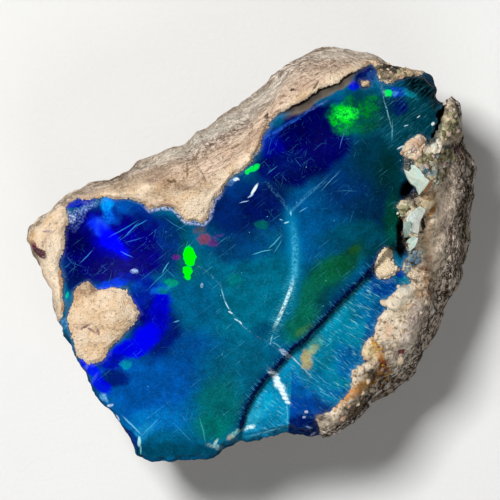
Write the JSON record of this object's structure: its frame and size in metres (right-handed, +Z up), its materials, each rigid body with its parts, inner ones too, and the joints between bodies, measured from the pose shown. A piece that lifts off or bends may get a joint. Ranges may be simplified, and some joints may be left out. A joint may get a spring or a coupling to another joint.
{
  "type": "rough opal",
  "caption": "Rough opal stone: a broken nodule lying on its rounded back, with a blue-green opal face framed by cream rind and a coarse grainy edge",
  "frame": {"origin": "middle of the bounding box seen from above, at the height of the flat that it rests on", "axes": "+X across the length of the stone, from the pointed tip of the rind to the coarse crumbly side; +Y across its width, from the broken edge to the smooth brow of rind; +Z up, out of the opal face"},
  "size_m": [0.0622, 0.0582, 0.0279],
  "materials": {
    "opal": "glassy blue-green opal with play of colour, broken in shell-shaped curves",
    "rind": "dry cream to tan rind with a fine grain, small dark pits and coarse crumbs on one side"
  },
  "bodies": {
    "root": {"rough_opal": "opal"}
  },
  "joints": []
}
